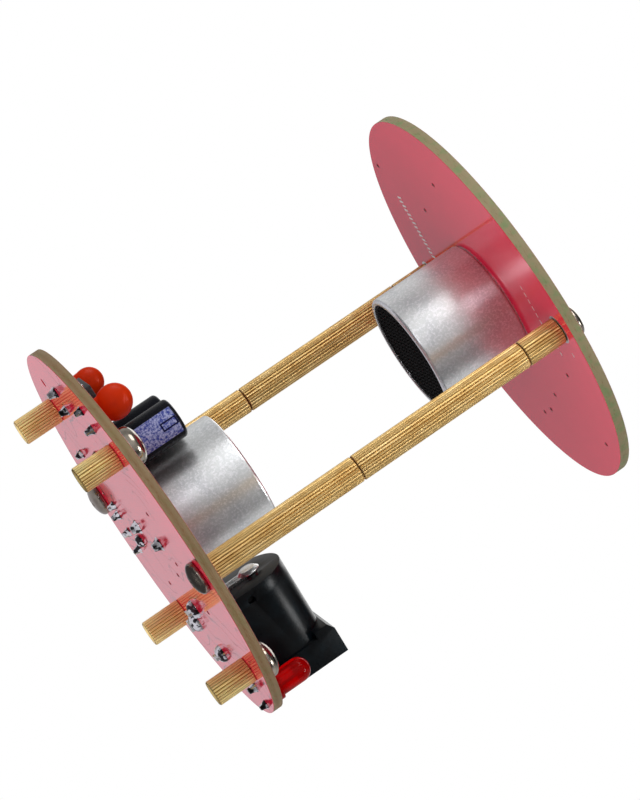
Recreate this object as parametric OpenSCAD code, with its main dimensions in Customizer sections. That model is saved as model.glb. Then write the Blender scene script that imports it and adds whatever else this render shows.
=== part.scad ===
// Two-deck ultrasonic levitator: a sound transducer on each deck, brass columns between them.
// Millimetres, +Z up. The origin is the centre of the footprint, on the surface the feet stand on.

/* [Decks] */
// Radius of both round circuit boards
board_r = 25; // [24.5:0.1:27]
// Thickness of both circuit boards
board_t = 1.3; // [1.0:0.1:1.6]
// Distance of each column from the centre
post_y = 21; // [20.5:0.1:22]
// Clearance hole for the machine screws
screw_hole_r = 1.2; // [1.16:0.01:1.3]

/* [Columns and feet] */
// Outside radius of the knurled spacers
spacer_r = 1.6; // [1.5:0.05:1.8]
// Depth of the straight knurl
knurl_depth = 0.14; // [0.08:0.01:0.2]
// Number of ridges round a spacer
knurl_count = 22; // [16:1:28]
// Radius of the spacers' threaded bore
thread_r = 1.0; // [0.98:0.01:1.05]
// Length of the lowest column section
lower_len = 20; // [15:1:25]
// Length of the middle column section
middle_len = 23; // [20:1:28]
// Length of the top column section
tip_len = 5; // [5:0.5:8]
// Length of a foot
foot_len = 5; // [4.5:0.1:8]

/* [Screws] */
// Radius of the thread on screws and studs
shank_r = 0.95; // [0.9:0.01:0.96]
// Radius of a pan head
head_r = 2.0; // [1.8:0.05:2.1]
// Height of a pan head
head_h = 1.4; // [1.2:0.1:1.6]
// Radius of the larger heads over the feet
foot_head_r = 2.4; // [2:0.05:2.5]
// Height of the larger heads over the feet
foot_head_h = 2.1; // [1.6:0.1:2.2]
// Length of a stud under a column section
stud_len = 5; // [3:0.5:6]
// Screw length through a deck into a column
column_screw_len = 5; // [4:0.5:6]
// Screw length through the base deck into a foot
foot_screw_len = 3; // [2.5:0.5:3]

/* [Transducers] */
// Outside radius of a transducer can
can_r = 7.9; // [7.8:0.05:8.1]
// Height of a transducer can
can_h = 12; // [11.5:0.1:12.5]
// Wall of a transducer can
can_wall = 0.6; // [0.4:0.05:0.8]
// Radius of the mouth inside the rolled lip
mouth_r = 7.2; // [7.0:0.05:7.25]
// Thickness of the rolled lip
lip_t = 0.2; // [0.2:0.05:0.4]
// Spacing of the two pins from the centre
pin_y = 4.6; // [4.4:0.1:5]

/* [Power socket] */
// Width of the socket body
jack_w = 9; // [8.8:0.1:9.2]
// Height of the front flange
jack_h = 10.9; // [10.7:0.1:11.1]
// Position of the front face along X
jack_front_x = 24.2; // [24.0:0.1:24.4]
// Length of the moulded body
jack_len = 13.2; // [13:0.1:13.6]
// Height of the plug's axis over the deck
plug_z = 6.3; // [6.2:0.1:6.4]
// Radius of the plug opening
socket_r = 3.1; // [3.0:0.05:3.15]
// Radius of the centre pin
centre_pin_r = 1.0; // [0.9:0.05:1.05]

/* [Small parts] */
// Radius of the light's domed lens
led_r = 1.5; // [1.45:0.01:1.55]
// Height of the lens over the deck
led_h = 5.4; // [5.2:0.1:5.6]
// Radius of the electrolytic capacitors
elcap_r = 2.5; // [2.4:0.05:2.6]
// Height of the electrolytic capacitors
elcap_h = 7.7; // [7:0.1:8]
// Radius of the larger ceramic capacitor
disc_large_r = 2.2; // [2:0.1:2.3]
// Radius of the smaller ceramic capacitor
disc_small_r = 1.85; // [1.5:0.05:1.9]
// Radius of the component leads
lead_r = 0.25; // [0.2:0.01:0.28]

/* [Hidden] */
$fn = 64;

// Levels, from the feet up
base_z = foot_len;
deck_z = base_z + board_t;
middle_z = deck_z + lower_len;
tip_z = middle_z + middle_len;
top_z = tip_z + tip_len;
roof_z = top_z + board_t;

// Small constants
eps = 0.05;
gap = 0.02;
chamfer = 0.12;
hole_fn = 48;
recess_w = 0.5;
recess_len = 2.1;
recess_depth = 0.7;
head_rim = 0.4; // share of a pan head's height that is a straight rim
ridge_share = 0.62;
slope_share = 0.12;

// Plan positions on the base deck
sides = [-1, 1];
feet = [[-14.6, -13.4], [15.6, -13], [-15.1, 12.4], [14.5, 11.6]];
posts = [[0, -post_y], [0, post_y]];
pins = [[0, -pin_y], [0, pin_y]];
led_at = [20.6, -9.4];
elcaps_at = [[-11.6, -4.6], [-11, 0.8]];
disc_large_at = [-18.3, -8.1];
disc_small_at = [-18.4, 3.2];
chip_at = [-18.6, -2.4];
regulator_at = [3.6, 15.2];
resistor_at = [-4.6, 13.6];
spare_pad_at = [3.3, 9.4];
locating_hole_at = [-19.8, 8.6];

// Lead pitches and holes
pitch = 2.54;
elcap_pitch = 2;
resistor_pitch = 7.6;
lead_hole_r = 0.4;
pin_r = 0.4;
pin_hole_r = 0.5;
lead_end_z = base_z - 0.9;
locating_hole_r = 0.55;
led_leads_at = [for (s = sides) led_at + [s * pitch / 2, 0]];
elcap_leads_at = [for (c = elcaps_at, s = sides) c + [0, s * elcap_pitch / 2]];
ceramic_leads_at = [for (c = [disc_large_at, disc_small_at], s = sides) c + [s * pitch / 2, 0]];
regulator_leads_at = [for (i = [-1:1]) regulator_at + [i * pitch, 0]];
resistor_leads_at = [for (s = sides) resistor_at + [s * resistor_pitch / 2, 0]];
lead_points = concat(
    led_leads_at, elcap_leads_at, ceramic_leads_at, regulator_leads_at, resistor_leads_at
);

// Socket sections along X
jack_back_x = jack_front_x - jack_len;
flange_t = 3.3;
flange_step = 0.9;
flange_bevel = 0.6;
flange_back_z = 8.5;
collar_t = 1.6;
collar_top = 10.3;
socket_depth = 9.6;
barrel_r = 4.0;
floor_t = 0.6;
leaf_w = 2.2;
leaf_t = 0.25;
leaf_pivot_x = 13.7;
leaf_pivot_z = 1.35;
leaf_eye_r = 0.35;
leaf_bump_x = 19.2;
leaf_bump_z = 3.6;
leaf_tip_x = 20.8;
leaf_tip_z = 2.9;
cavity_w = 2.8;
cavity_x0 = 12.8;
cavity_x1 = 21.6;
cavity_top = 3.9;
vent_r = 0.5;
vent_depth = 1.2;
vent_z = 4.3;
vent_x = 12.2;
sleeve_tab_x = 17.3;
side_tab_x = 14;
tab_w = 1.6;
tab_t = 0.4;
rear_tab_x = jack_back_x - gap - tab_t / 2;
side_tab_y = jack_w / 2 + tab_t / 2;
tab_end_z = -board_t - 1.2;
slot_len = 2.2;
slot_w = 0.9;

// Solder heights and pad radii
solder_neck_t = 0.16;
pad_r = 0.85;
pin_pad_r = 1.15;
tab_pad_r = 1.5;
solder_h = 0.85;
spare_solder_h = 0.7;
tab_solder_h = 1.1;

// ---- helpers ----

// A plan-view slot with round ends, centred on the origin
module slot(length, width) {
    for (s = sides) translate([s * (length - width) / 2, 0]) circle(d = width, $fn = hole_fn);
    square([length - width, width], center = true);
}

// A blind or through hole standing on z = 0
module hole(r, depth) {
    translate([0, 0, -eps]) cylinder(r = r, h = depth + 2 * eps, $fn = hole_fn);
}

// Outline of a straight knurl: flat ridges with narrow grooves between them
function knurl_outline() = [
    for (i = [0:knurl_count - 1],
         k = [[0, 1], [ridge_share, 1], [ridge_share + slope_share, 0], [1 - slope_share, 0]])
        let (a = 360 * (i + k[0]) / knurl_count, r = spacer_r - knurl_depth * (1 - k[1]))
            [r * cos(a), r * sin(a)]
];

// A round knurled spacer with turned ends, an optional stud below and a bore from the top
module spacer(length, stud, bore) {
    difference() {
        intersection() {
            linear_extrude(length) polygon(knurl_outline());
            rotate_extrude()
                polygon([
                    [0, 0], [spacer_r - chamfer, 0], [spacer_r + gap, chamfer + gap],
                    [spacer_r + gap, length - chamfer - gap], [spacer_r - chamfer, length], [0, length]
                ]);
        }
        translate([0, 0, length - bore - (bore == length ? eps : 0)])
            cylinder(r = thread_r, h = bore + 2 * eps, $fn = hole_fn);
    }
    if (stud > 0) translate([0, 0, -stud]) cylinder(r = shank_r, h = stud + eps, $fn = hole_fn);
}

// A pan-head machine screw pointing down, with its bearing face at z = 0
module pan_screw(length, r = head_r, h = head_h) {
    translate([0, 0, -length]) cylinder(r = shank_r, h = length + eps, $fn = hole_fn);
    difference() {
        rotate_extrude() {
            square([r, h * head_rim]);
            intersection() {
                square([r, h]);
                translate([0, h * head_rim])
                    scale([r, h * (1 - head_rim)]) circle(r = 1, $fn = hole_fn);
            }
        }
        for (a = [0, 90])
            rotate([0, 0, a])
                translate([-recess_len / 2, -recess_w / 2, h - recess_depth])
                    cube([recess_len, recess_w, recess_depth + eps]);
    }
}

// A soldered joint hanging under z = 0 round a round lead; with no lead it is a closed drop
module solder_cone(r, pad_r, height) {
    inner = r > 0 ? r + gap : 0;
    foot = [r + (pad_r - r) * 0.62, -height * 0.28];
    neck = [r + solder_neck_t, -height * 0.72];
    rotate_extrude() polygon([[inner, 0], [pad_r, 0], foot, neck, [inner, -height]]);
}

// A drop of solder round a flat tab
module solder_drop(pad_r, height) {
    shoulder = [pad_r * 0.86, -height * 0.45];
    crown = [pad_r * 0.45, -height * 0.85];
    difference() {
        rotate_extrude() polygon([[0, 0], [pad_r, 0], shoulder, crown, [0, -height]]);
        translate([-tab_w / 2 - gap, -tab_t / 2 - gap, -height - eps])
            cube([tab_w + 2 * gap, tab_t + 2 * gap, height + 2 * eps]);
    }
}

// ---- decks and columns ----

module board_blank() {
    cylinder(r = board_r, h = board_t, $fn = 180);
}

module base_board() {
    color("crimson")
        translate([0, 0, base_z])
            difference() {
                board_blank();
                for (p = concat(posts, feet)) translate(p) hole(screw_hole_r, board_t);
                for (p = pins) translate(p) hole(pin_hole_r, board_t);
                for (p = lead_points) translate(p) hole(lead_hole_r, board_t);
                translate(spare_pad_at) hole(lead_hole_r, board_t);
                translate(locating_hole_at) hole(locating_hole_r, board_t);
                for (p = [[rear_tab_x, 0, 90], [sleeve_tab_x, 0, 90], [side_tab_x, side_tab_y, 0]])
                    translate([p[0], p[1], -eps])
                        rotate([0, 0, p[2]])
                            linear_extrude(board_t + 2 * eps) slot(slot_len, slot_w);
            }
}

module top_board() {
    color("crimson")
        translate([0, 0, top_z])
            difference() {
                board_blank();
                for (p = posts) translate(p) hole(screw_hole_r, board_t);
                for (p = pins) translate(p) hole(pin_hole_r, board_t);
            }
}

module post_lower(at) {
    color("goldenrod") translate([at[0], at[1], deck_z]) spacer(lower_len, 0, lower_len);
}

module post_middle(at) {
    color("goldenrod") translate([at[0], at[1], middle_z]) spacer(middle_len, stud_len, stud_len + 1);
}

module post_tip(at) {
    color("goldenrod") translate([at[0], at[1], tip_z]) spacer(tip_len, stud_len, tip_len - 1);
}

module foot(at) {
    color("goldenrod") translate([at[0], at[1], 0]) spacer(foot_len, 0, foot_len);
}

module column_base_screws() {
    color("silver")
        for (p = posts) translate([p[0], p[1], base_z]) rotate([180, 0, 0]) pan_screw(column_screw_len);
}

module column_top_screws() {
    color("silver") for (p = posts) translate([p[0], p[1], roof_z]) pan_screw(column_screw_len);
}

module foot_screws() {
    color("silver")
        for (p = feet)
            translate([p[0], p[1], deck_z]) pan_screw(foot_screw_len, foot_head_r, foot_head_h);
}

// ---- transducers, standing on z = 0 with the mouth up ----

plug_t = 2;
seal_t = 0.9;
seal_r = 5.0;
seal_wall = 0.8;
piezo_t = 0.6;
piezo_r = 3.9;
plate_t = 0.3;
plate_r = 5.4;
cone_h = 3;
cone_r = 4.2;
cone_neck_r = 1.2;
cone_wall = 0.25;
grille_t = 0.25;
pin_protrusion = 0.9;
can_edge = 0.35;

module place_lower() {
    translate([0, 0, deck_z]) children();
}

module place_upper() {
    translate([0, 0, top_z]) rotate([180, 0, 0]) children();
}

module can() {
    color("lightgray")
        rotate_extrude($fn = 128)
            polygon([
                [can_r - can_wall, 0], [can_r, 0], [can_r, can_h - can_edge],
                [can_r - can_edge * 0.3, can_h - can_edge * 0.3], [can_r - can_edge, can_h],
                [mouth_r, can_h], [mouth_r, can_h - lip_t], [can_r - can_wall, can_h - lip_t]
            ]);
}

module base_plug() {
    color("dimgray")
        difference() {
            cylinder(r = can_r - can_wall - gap, h = plug_t);
            for (p = pins) translate(p) hole(pin_r + gap, plug_t);
        }
}

module transducer_pins() {
    color("silver")
        for (p = pins)
            translate([p[0], p[1], -board_t - pin_protrusion])
                cylinder(r = pin_r, h = board_t + pin_protrusion + plug_t);
}

module seal_ring() {
    color("white")
        translate([0, 0, plug_t])
            difference() {
                cylinder(r = seal_r, h = seal_t);
                hole(seal_r - seal_wall, seal_t);
            }
}

module piezo_disc() {
    color("khaki") translate([0, 0, plug_t + seal_t - piezo_t]) cylinder(r = piezo_r, h = piezo_t);
}

module bender_plate() {
    color("gainsboro") translate([0, 0, plug_t + seal_t]) cylinder(r = plate_r, h = plate_t);
}

module cone() {
    color("silver")
        translate([0, 0, plug_t + seal_t + plate_t])
            rotate_extrude()
                polygon([
                    [0, 0], [cone_neck_r, 0], [cone_r, cone_h], [cone_r - cone_wall, cone_h],
                    [cone_neck_r - cone_wall, cone_wall], [0, cone_wall]
                ]);
}

module grille() {
    color("black")
        translate([0, 0, can_h - lip_t - grille_t]) cylinder(r = can_r - can_wall - gap, h = grille_t);
}

// ---- power socket, with z = 0 on the deck ----

module place_jack() {
    translate([0, 0, deck_z]) children();
}

// An upright outline with a round top, extruded along X
module arch(x0, length, width, axis_z, r) {
    translate([x0, 0, 0])
        rotate([90, 0, 90])
            linear_extrude(length) {
                translate([-width / 2, 0]) square([width, axis_z]);
                translate([0, axis_z])
                    intersection() {
                        circle(r = r, $fn = 96);
                        translate([-r, 0]) square([2 * r, r]);
                    }
            }
}

// The flange is a plate with its top edge cut back towards the barrel
module jack_flange() {
    flange_x = jack_front_x - flange_t;
    translate([0, jack_w / 2, 0])
        rotate([90, 0, 0])
            linear_extrude(jack_w)
                polygon([
                    [flange_x, 0], [jack_front_x, 0], [jack_front_x, jack_h],
                    [flange_x, jack_h], [flange_x - flange_step, jack_h - flange_bevel],
                    [flange_x - flange_step, flange_back_z], [flange_x, flange_back_z]
                ]);
}

module jack_body() {
    color([0.1, 0.1, 0.11])
        place_jack()
            difference() {
                union() {
                    arch(jack_back_x, collar_t, jack_w, collar_top - jack_w / 2, jack_w / 2);
                    arch(jack_back_x, jack_len - flange_t + eps, 2 * barrel_r, plug_z, barrel_r);
                    jack_flange();
                }
                translate([jack_front_x - socket_depth, 0, plug_z])
                    rotate([0, 90, 0]) cylinder(r = socket_r, h = socket_depth + eps, $fn = 96);
                translate([jack_back_x - eps, 0, plug_z])
                    rotate([0, 90, 0]) cylinder(r = centre_pin_r + gap, h = jack_len, $fn = hole_fn);
                translate([cavity_x0, -cavity_w / 2, floor_t])
                    cube([cavity_x1 - cavity_x0, cavity_w, cavity_top - floor_t]);
                translate([sleeve_tab_x - tab_t / 2 - gap, -tab_w / 2 - gap, -eps])
                    cube([tab_t + 2 * gap, tab_w + 2 * gap, floor_t + 2 * eps]);
                translate([vent_x, -jack_w / 2 - eps, vent_z])
                    rotate([-90, 0, 0]) cylinder(r = vent_r, h = vent_depth, $fn = 32);
            }
}

// The centre pin is riveted to the rear tab
module jack_centre_pin() {
    rivet_h = 0.35;
    rivet_r = 1.45;
    pin_recess = 1.2;
    strip_over_axis = 0.6;
    back_x = rear_tab_x - tab_t / 2;
    color("silver")
        place_jack() {
            translate([back_x, 0, plug_z])
                rotate([0, 90, 0]) {
                    cylinder(r = centre_pin_r, h = jack_front_x - pin_recess - back_x);
                    translate([0, 0, -rivet_h])
                        cylinder(r1 = centre_pin_r, r2 = rivet_r, h = rivet_h + gap);
                }
            translate([back_x, -tab_w / 2, tab_end_z])
                cube([tab_t, tab_w, plug_z + strip_over_axis - tab_end_z]);
        }
}

// A curl that holds the leaf's root, a floor strip and the soldered tab
module jack_sleeve_terminal() {
    curl_r = leaf_eye_r + eps;
    strip_t = 0.16;
    color("silver")
        place_jack() {
            translate([leaf_pivot_x, -leaf_w / 2, leaf_pivot_z])
                rotate([-90, 0, 0])
                    linear_extrude(leaf_w)
                        difference() {
                            circle(r = curl_r + leaf_t, $fn = hole_fn);
                            circle(r = curl_r, $fn = hole_fn);
                            translate([eps, -1]) square([2, 1 + leaf_t]);
                        }
            translate([leaf_pivot_x, -leaf_w / 2, floor_t])
                cube([sleeve_tab_x + tab_t / 2 - leaf_pivot_x, leaf_w, strip_t]);
            translate([sleeve_tab_x - tab_t / 2, -tab_w / 2, tab_end_z])
                cube([tab_t, tab_w, floor_t + strip_t / 2 - tab_end_z]);
        }
}

module jack_side_terminal() {
    top = 4.5;
    color("silver")
        place_jack()
            translate([side_tab_x - tab_w / 2, side_tab_y - tab_t / 2 + gap, tab_end_z])
                cube([tab_w, tab_t, top - tab_end_z]);
}

// The sprung contact leaf: an eye at the root, a rise to the contact bump and a lead-in tip
module jack_contact_leaf() {
    width = leaf_w - 0.2;
    bump_half = 0.5;
    crown_half = 0.2;
    crown_h = 0.1;
    color("gold")
        place_jack()
            translate([0, width / 2, 0])
                rotate([90, 0, 0])
                    union() {
                        translate([leaf_pivot_x, leaf_pivot_z])
                            cylinder(r = leaf_eye_r, h = width, $fn = hole_fn);
                        linear_extrude(width)
                            polygon([
                                [leaf_pivot_x, leaf_pivot_z - eps], [leaf_pivot_x, leaf_pivot_z + leaf_t],
                                [leaf_bump_x - bump_half, leaf_bump_z - crown_h],
                                [leaf_bump_x - crown_half, leaf_bump_z],
                                [leaf_bump_x + crown_half, leaf_bump_z],
                                [leaf_bump_x + bump_half, leaf_bump_z - crown_h],
                                [leaf_tip_x, leaf_tip_z], [leaf_tip_x, leaf_tip_z - leaf_t],
                                [leaf_bump_x, leaf_bump_z - leaf_t]
                            ]);
                    }
}

// ---- small parts ----

module leads(points, top, r = lead_r) {
    for (p = points) translate([p[0], p[1], lead_end_z]) cylinder(r = r, h = top - lead_end_z, $fn = 24);
}

led_lift = 0.3;

// The lens has a domed top and a flange with one flat side
module led_lens() {
    flange_h = 0.7;
    flange_r = 1.8;
    dome_z = led_h - led_lift - led_r;
    color("red")
        translate([led_at[0], led_at[1], deck_z + led_lift])
            difference() {
                union() {
                    cylinder(r = flange_r, h = flange_h);
                    cylinder(r = led_r, h = dome_z);
                    translate([0, 0, dome_z]) sphere(r = led_r);
                }
                translate([-flange_r - 1, -flange_r, -eps])
                    cube([flange_r + 1 - led_r, 2 * flange_r, flange_h + 2 * eps]);
            }
}

module led_leads() {
    color("silver") leads(led_leads_at, deck_z + led_lift);
}

elcap_lift = 0.4;
bung_h = 1.2;
sleeve_t = 0.3;
elcap_core_r = elcap_r - sleeve_t;

module place_electrolytics() {
    for (p = elcaps_at) translate([p[0], p[1], deck_z + elcap_lift]) children();
}

module electrolytic_cans() {
    color("silver")
        place_electrolytics()
            translate([0, 0, bung_h]) cylinder(r = elcap_core_r, h = elcap_h - sleeve_t - bung_h);
}

// A shrunk sleeve with a crimp groove low down and a rounded shoulder over the can's rim
module electrolytic_sleeves() {
    inner_r = elcap_core_r + gap;
    rim_r = elcap_r - 0.9;
    groove_r = elcap_r - 0.12;
    shoulder = 0.45;
    color([0.25, 0.26, 0.5])
        place_electrolytics()
            rotate_extrude($fn = 96)
                polygon([
                    [inner_r, 0.1], [elcap_r, 0.1], [elcap_r, bung_h - 0.3], [groove_r, bung_h],
                    [groove_r, bung_h + 0.2], [elcap_r, bung_h + 0.5],
                    [elcap_r, elcap_h - shoulder], [elcap_r - shoulder * 0.3, elcap_h - shoulder * 0.3],
                    [elcap_r - shoulder, elcap_h], [rim_r, elcap_h],
                    [rim_r, elcap_h - sleeve_t + gap], [inner_r, elcap_h - sleeve_t + gap]
                ]);
}

module electrolytic_bungs() {
    color("black")
        place_electrolytics()
            difference() {
                cylinder(r = elcap_core_r, h = bung_h);
                for (s = sides) translate([0, s * elcap_pitch / 2, 0]) hole(lead_r + gap, bung_h);
            }
}

module electrolytic_leads() {
    color("silver") leads(elcap_leads_at, deck_z + elcap_lift + bung_h);
}

disc_large_t = 2.2;
disc_large_lift = 0.2;
disc_small_t = 2.0;
disc_small_lift = 0.7;
leg_gap = 0.1;

// A dipped ceramic capacitor: a lens-shaped body with two coated legs
module ceramic_body(at, r, thickness, lift) {
    leg_r1 = 0.35;
    leg_r2 = 0.5;
    color("orangered")
        translate([at[0], at[1], deck_z + lift + r]) {
            rotate([90, 0, 0])
                rotate_extrude()
                    intersection() {
                        translate([0, -thickness]) square([r + 1, 2 * thickness]);
                        scale([r, thickness / 2]) circle(r = 1, $fn = 64);
                    }
            for (s = sides)
                translate([s * pitch / 2, 0, -r - lift + leg_gap])
                    cylinder(r1 = leg_r1, r2 = leg_r2, h = r * 0.75 + 0.4, $fn = 24);
        }
}

module ceramic_capacitor_large() {
    ceramic_body(disc_large_at, disc_large_r, disc_large_t, disc_large_lift);
}

module ceramic_capacitor_small() {
    ceramic_body(disc_small_at, disc_small_r, disc_small_t, disc_small_lift);
}

module ceramic_leads() {
    color("silver") leads(ceramic_leads_at, deck_z + leg_gap);
}

chip_body = [3.9, 4.9, 1.35];
chip_lift = 0.15;
chip_lead = [1.05, 0.42, 0.2];

module driver_chip() {
    color([0.13, 0.13, 0.14])
        translate([chip_at[0] - chip_body[0] / 2, chip_at[1] - chip_body[1] / 2, deck_z + chip_lift])
            cube(chip_body);
}

// Gull-wing leads: a short shelf out of the body, a drop, and a foot on the deck
module driver_chip_leads() {
    reach = chip_lead[0];
    width = chip_lead[1];
    t = chip_lead[2];
    shelf = 0.45;
    shelf_z = 0.65;
    color("silver")
        for (s = sides, i = [-1.5:1.5])
            translate([chip_at[0] + s * chip_body[0] / 2, chip_at[1] + i * pitch / 2 - width / 2, deck_z])
                scale([s, 1, 1]) {
                    translate([shelf, 0, 0]) cube([reach - shelf, width, t]);
                    translate([shelf - t, 0, 0]) cube([t, width, shelf_z + t]);
                    translate([0, 0, shelf_z]) cube([shelf, width, t]);
                }
}

regulator_z = deck_z + 1.5;

// Half-round transistor outline with its flat face towards the front
module regulator() {
    body_r = 2.3;
    body_h = 4.6;
    flat_y = -1.2;
    behind_leads = 0.4;
    color([0.1, 0.1, 0.11])
        translate([regulator_at[0], regulator_at[1] + behind_leads, regulator_z])
            difference() {
                cylinder(r = body_r, h = body_h);
                translate([-2 * body_r, -2 * body_r, -eps])
                    cube([4 * body_r, 2 * body_r + flat_y, body_h + 2 * eps]);
            }
}

module regulator_leads() {
    color("silver") leads(regulator_leads_at, regulator_z);
}

resistor_z = deck_z + 1.1;
resistor_r = 0.95;
resistor_len = 4.2;
resistor_cap = 0.95;
resistor_round = 0.3;

module resistor_body() {
    end_r = resistor_r * 0.7;
    waist_r = resistor_r * 0.82;
    waist_x = resistor_cap + resistor_round;
    color("tan")
        translate([resistor_at[0] - resistor_len / 2, resistor_at[1], resistor_z])
            rotate([0, 90, 0])
                rotate_extrude()
                    polygon([
                        [0, 0], [end_r, 0], [resistor_r, resistor_round], [resistor_r, resistor_cap],
                        [waist_r, waist_x], [waist_r, resistor_len - waist_x],
                        [resistor_r, resistor_len - resistor_cap],
                        [resistor_r, resistor_len - resistor_round], [end_r, resistor_len],
                        [0, resistor_len]
                    ]);
}

module resistor_leads() {
    reach = (resistor_pitch - resistor_len) / 2;
    color("silver") {
        leads(resistor_leads_at, resistor_z);
        for (p = resistor_leads_at) translate([p[0], p[1], resistor_z]) sphere(r = lead_r, $fn = 24);
        for (s = sides)
            translate([resistor_at[0] + s * resistor_pitch / 2, resistor_at[1], resistor_z])
                rotate([0, -s * 90, 0]) cylinder(r = lead_r, h = reach, $fn = 24);
    }
}

// ---- solder ----

module base_solder() {
    color("silver")
        translate([0, 0, base_z]) {
            for (p = lead_points) translate(p) solder_cone(lead_r, pad_r, solder_h);
            for (p = pins) translate(p) solder_cone(pin_r, pin_pad_r, solder_h);
            translate(spare_pad_at) solder_cone(0, pad_r, spare_solder_h);
            for (x = [rear_tab_x, sleeve_tab_x])
                translate([x, 0, 0]) rotate([0, 0, 90]) solder_drop(tab_pad_r, tab_solder_h);
            translate([side_tab_x, side_tab_y + gap, 0]) solder_drop(tab_pad_r, tab_solder_h);
        }
}

module top_solder() {
    color("silver")
        translate([0, 0, roof_z])
            rotate([180, 0, 0])
                for (p = pins) translate(p) solder_cone(pin_r, pin_pad_r, solder_h);
}

// ---- assembly ----

base_board();
top_board();
post_lower(posts[0]);  // front_post_lower
post_middle(posts[0]);  // front_post_middle
post_tip(posts[0]);  // front_post_tip
post_lower(posts[1]);  // rear_post_lower
post_middle(posts[1]);  // rear_post_middle
post_tip(posts[1]);  // rear_post_tip
foot(feet[0]);  // foot_front_left
foot(feet[1]);  // foot_front_right
foot(feet[2]);  // foot_rear_left
foot(feet[3]);  // foot_rear_right
column_base_screws();
column_top_screws();
foot_screws();
place_lower() can();  // lower_can
place_lower() base_plug();  // lower_base_plug
place_lower() transducer_pins();  // lower_pins
place_lower() seal_ring();  // lower_seal_ring
place_lower() piezo_disc();  // lower_piezo_disc
place_lower() bender_plate();  // lower_bender_plate
place_lower() cone();  // lower_cone
place_lower() grille();  // lower_grille
place_upper() can();  // upper_can
place_upper() base_plug();  // upper_base_plug
place_upper() transducer_pins();  // upper_pins
place_upper() seal_ring();  // upper_seal_ring
place_upper() piezo_disc();  // upper_piezo_disc
place_upper() bender_plate();  // upper_bender_plate
place_upper() cone();  // upper_cone
place_upper() grille();  // upper_grille
jack_body();
jack_centre_pin();
jack_sleeve_terminal();
jack_side_terminal();
jack_contact_leaf();
led_lens();
led_leads();
electrolytic_cans();
electrolytic_sleeves();
electrolytic_bungs();
electrolytic_leads();
ceramic_capacitor_large();
ceramic_capacitor_small();
ceramic_leads();
driver_chip();
driver_chip_leads();
regulator();
regulator_leads();
resistor_body();
resistor_leads();
base_solder();
top_solder();
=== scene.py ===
"""Dresses the two-deck ultrasonic levitator: fine shapes, finishes, lamps and camera."""

import math

import bmesh
import bpy
from mathutils import Matrix, Vector


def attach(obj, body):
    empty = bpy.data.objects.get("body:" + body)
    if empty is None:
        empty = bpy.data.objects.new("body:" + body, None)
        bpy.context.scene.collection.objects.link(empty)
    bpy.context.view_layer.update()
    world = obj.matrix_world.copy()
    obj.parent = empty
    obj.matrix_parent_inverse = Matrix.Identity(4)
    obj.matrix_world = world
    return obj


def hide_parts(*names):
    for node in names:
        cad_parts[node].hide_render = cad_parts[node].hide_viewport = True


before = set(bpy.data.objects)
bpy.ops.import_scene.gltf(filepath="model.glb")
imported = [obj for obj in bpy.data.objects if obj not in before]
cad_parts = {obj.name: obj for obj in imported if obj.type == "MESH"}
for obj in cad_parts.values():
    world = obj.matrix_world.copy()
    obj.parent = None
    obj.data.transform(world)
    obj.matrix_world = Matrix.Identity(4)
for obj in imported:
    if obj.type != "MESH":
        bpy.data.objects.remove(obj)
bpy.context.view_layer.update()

# ---- sizes of the object, in millimetres ----

MM = 0.001

BOARD_R = 25.0
BOARD_T = 1.3
RIM_ROUNDING = 0.05
BASE_Z = 5.0
DECK_Z = BASE_Z + BOARD_T
MIDDLE_Z = DECK_Z + 20.0
TIP_Z = MIDDLE_Z + 23.0
TOP_Z = TIP_Z + 5.0
ROOF_Z = TOP_Z + BOARD_T

SPACER_R = 1.6
KNURL_RIDGES = 26
KNURL_DEPTH = 0.12
SPACER_CHAMFER = 0.12
THREAD_R = 1.0
POST_Y = 21.0
POSTS = [(0, -POST_Y), (0, POST_Y)]
FEET = {
    "foot_front_left": (-14.6, -13.4),
    "foot_front_right": (15.6, -13.0),
    "foot_rear_left": (-15.1, 12.4),
    "foot_rear_right": (14.5, 11.6),
}
SCREW_HOLE_R = 1.2
HEAD_R, HEAD_H = 2.0, 1.4
FOOT_HEAD_R, FOOT_HEAD_H = 2.4, 2.1
HEAD_RIM = 0.4
RECESS_W, RECESS_LEN, RECESS_DEPTH = 0.5, 2.1, 0.7

CAN_R, CAN_H, CAN_WALL, CAN_ROUNDING = 7.9, 12.0, 0.6, 0.42
MOUTH_R = 7.2
LIP_T = 0.2
GRILLE_PITCH = 0.62
GRILLE_WIRE_R = 0.11
GRILLE_GAP, HEM_W = 0.03, 0.4
PIN_Y, PIN_R, PIN_HOLE_R = 4.6, 0.4, 0.5

PITCH = 2.54
LEAD_R, LEAD_HOLE_R = 0.25, 0.4
LED_AT = (20.6, -9.4)
LED_R, LED_H, LED_LIFT = 1.5, 5.4, 0.3
ELCAPS_AT = [(-11.6, -4.6), (-11.0, 0.8)]
ELCAP_R, ELCAP_H, ELCAP_LIFT, ELCAP_PITCH = 2.5, 7.7, 0.4, 2.0
SLEEVE_T, BUNG_H = 0.3, 1.2
DISC_LARGE_AT = (-18.3, -8.1)
DISC_SMALL_AT = (-18.4, 3.2)
CHIP_AT = (-18.6, -2.4)
CHIP_H = 1.5
REGULATOR_AT = (3.6, 15.2)
RESISTOR_AT = (-4.6, 13.6)
RESISTOR_PITCH = 7.6
SPARE_PAD_AT = (3.3, 9.4)
LOCATING_HOLE_AT = (-19.8, 8.6)
LOCATING_HOLE_R = 0.55
TAB_SLOT = (2.2, 0.9)
TABS = [(10.78, 0.0, True), (17.3, 0.0, True), (14.0, 4.7, False)]


def along_x(at, span):
    """The two places span apart along X, centred on a place."""
    return [(at[0] - span / 2, at[1]), (at[0] + span / 2, at[1])]


def along_y(at, span):
    """The two places span apart along Y, centred on a place."""
    return [(at[0], at[1] - span / 2), (at[0], at[1] + span / 2)]


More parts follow.
